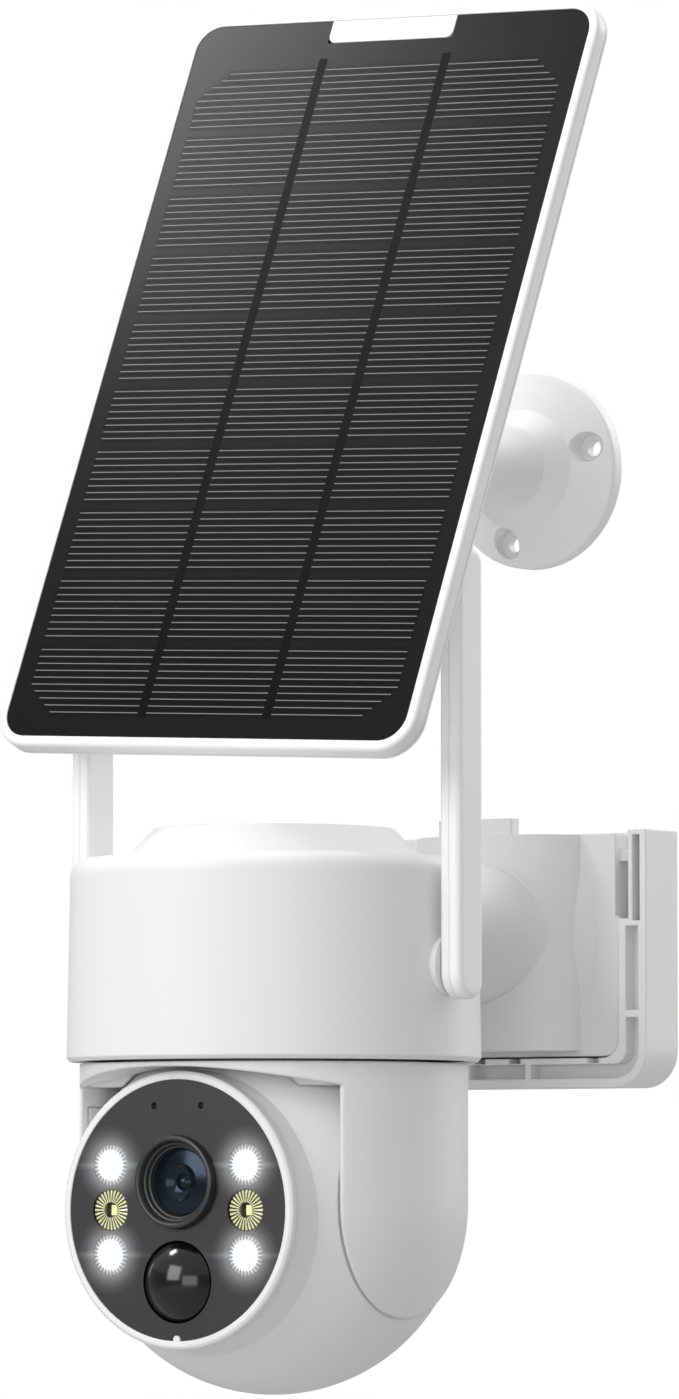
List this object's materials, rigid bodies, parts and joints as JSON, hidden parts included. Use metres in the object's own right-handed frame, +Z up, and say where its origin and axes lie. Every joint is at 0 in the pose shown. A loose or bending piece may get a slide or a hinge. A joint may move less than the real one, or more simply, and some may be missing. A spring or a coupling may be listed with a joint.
{
  "type": "solar-powered security camera",
  "caption": "Wall-mounted pan and tilt security camera with a round lamp face, folding antennas and a separate solar panel on a ball-jointed wall mount.",
  "frame": {"origin": "centre of the wall face of the camera's wall plate", "axes": "+Z up, +Y into the wall, +X to the right when facing the wall; the camera looks along -Y"},
  "size_m": [0.1472, 0.186, 0.3844],
  "materials": {
    "bracket_white": "fine satin moulding",
    "housing_white": "fine satin moulding",
    "yoke_white": "fine satin moulding",
    "head_white": "fine satin moulding",
    "bezel_white": "satin",
    "antenna_white": "fine satin moulding",
    "panel_white": "fine satin moulding",
    "mount_white": "fine satin moulding",
    "panel_glass": "clear over black",
    "solar_cell": "smooth silicon",
    "face_black": "satin black",
    "lens_metal": "anodised grey",
    "lens_glass": "coated",
    "lamp_lens": "clear",
    "spot_lens": "clear, ribbed",
    "lamp_chip": "phosphor",
    "sensor_dome": "polished black",
    "sensor_metal": "plain",
    "circuit_board": "solder mask",
    "cell_wrap": "shrink wrap",
    "tray_black": "plain",
    "seal_rubber": "soft",
    "door_rubber": "soft",
    "screw_steel": "plain",
    "motor_steel": "plain",
    "gear_nylon": "plain",
    "bush_acetal": "plain",
    "copper_strip": "plain",
    "button_grey": "plain",
    "stud_steel": "white coat"
  },
  "bodies": {
    "mount": {"wall_plate": "bracket_white", "bracket_arm": "bracket_white", "housing_shell": "housing_white", "housing_base": "housing_white", "housing_seal": "seal_rubber", "housing_screws": "screw_steel", "battery_cells": "cell_wrap", "battery_tray": "tray_black", "main_board": "circuit_board", "pan_motor": "motor_steel", "pan_bearing": "bush_acetal", "charge_socket": "screw_steel", "panel_wall_base": "mount_white", "antenna_left_screw": "screw_steel", "antenna_right_screw": "screw_steel"},
    "pan_pinion": {"pan_pinion": "gear_nylon"},
    "socket_cap": {"socket_cap": "door_rubber"},
    "power_button": {"power_button": "button_grey"},
    "lock_ring": {"panel_lock_ring": "mount_white"},
    "antenna_left": {"antenna_left_inner": "antenna_white", "antenna_left_outer": "antenna_white", "antenna_left_strip": "copper_strip"},
    "antenna_right": {"antenna_right_inner": "antenna_white", "antenna_right_outer": "antenna_white", "antenna_right_strip": "copper_strip"},
    "yoke": {"yoke": "yoke_white", "yoke_cover_left": "yoke_white", "yoke_cover_right": "yoke_white", "pan_gear": "gear_nylon", "pan_retainer": "screw_steel", "tilt_gear": "gear_nylon"},
    "head": {"head_front_shell": "head_white", "head_rear_shell": "head_white", "head_seal": "seal_rubber", "head_screws": "screw_steel", "bezel_ring": "bezel_white", "face_panel": "face_black", "lens_barrel": "lens_metal", "lens_glass": "lens_glass", "sensor_board": "circuit_board", "flood_lenses": "lamp_lens", "spot_lenses": "spot_lens", "led_board": "circuit_board", "led_chips": "lamp_chip", "pir_lens": "sensor_dome", "pir_sensor": "sensor_metal", "microphones": "sensor_metal", "head_bushes": "bush_acetal", "tilt_motor": "motor_steel", "speaker": "tray_black", "card_socket": "screw_steel"},
    "tilt_pinion": {"tilt_pinion": "gear_nylon"},
    "card_door": {"card_door": "door_rubber"},
    "reset_button": {"reset_button": "button_grey"},
    "panel_stud": {"panel_stem": "stud_steel"},
    "panel": {"panel_frame": "panel_white", "panel_glass": "panel_glass", "panel_cells": "solar_cell", "panel_back": "panel_white", "panel_gland": "seal_rubber"}
  },
  "joints": [
    {"name": "pan", "type": "hinge", "parent": "mount", "child": "yoke", "pos_m": [0, -0.13, -0.032], "axis": [0, 0, 1], "range_deg": [-177.5, 177.5]},
    {"name": "pan_motor_turn", "type": "hinge", "parent": "mount", "child": "pan_pinion", "pos_m": [-0.03105, -0.13, 0], "axis": [0, 0, 1], "range_deg": [-640, 640]},
    {"name": "tilt", "type": "hinge", "parent": "yoke", "child": "head", "pos_m": [0, -0.13, -0.0684], "axis": [1, 0, 0], "range_deg": [0, 90]},
    {"name": "tilt_motor_turn", "type": "hinge", "parent": "head", "child": "tilt_pinion", "pos_m": [-0.0313, -0.10975, -0.0684], "axis": [1, 0, 0], "range_deg": [0, 180]},
    {"name": "antenna_left_swing", "type": "hinge", "parent": "mount", "child": "antenna_left", "pos_m": [-0.0603, -0.13, -0.0052], "axis": [-1, 0, 0], "range_deg": [0, 180]},
    {"name": "antenna_right_swing", "type": "hinge", "parent": "mount", "child": "antenna_right", "pos_m": [0.0603, -0.13, -0.0052], "axis": [-1, 0, 0], "range_deg": [0, 180]},
    {"name": "panel_tilt", "type": "hinge", "parent": "mount", "child": "panel_stud", "pos_m": [0.0032, -0.079, 0.1401], "axis": [-1, 0, 0], "range_deg": [0, 24]},
    {"name": "panel_spin", "type": "hinge", "parent": "panel_stud", "child": "panel", "pos_m": [0.0032, -0.1178, 0.15538], "axis": [0, -0.9304, 0.3665], "range_deg": [-90, 90]},
    {"name": "lock_ring_turn", "type": "hinge", "parent": "mount", "child": "lock_ring", "pos_m": [0.0032, -0.07, 0.1401], "axis": [0, -1, 0], "range_deg": [0, 180]},
    {"name": "socket_cap_flap", "type": "hinge", "parent": "mount", "child": "socket_cap", "pos_m": [-0.04281, -0.09146, -0.0214], "axis": [-0.6691, -0.7431, 0], "range_deg": [0, 100]},
    {"name": "power_press", "type": "slide", "parent": "mount", "child": "power_button", "axis": [0.9511, -0.309, 0], "range_m": [0, 0.0008], "stiffness_N_per_m": 400},
    {"name": "card_door_flap", "type": "hinge", "parent": "head", "child": "card_door", "pos_m": [-0.02086, -0.13555, -0.11506], "axis": [0.4948, -0.8608, -0.1189], "range_deg": [0, 100]},
    {"name": "reset_press", "type": "slide", "parent": "head", "child": "reset_button", "axis": [0.4996, 0.1699, 0.8494], "range_m": [0, 0.0005], "stiffness_N_per_m": 400}
  ],
  "couplings": [
    {"joint": "pan_motor_turn", "follows": "pan", "ratio": -3.6},
    {"joint": "tilt_motor_turn", "follows": "tilt", "ratio": 2}
  ]
}
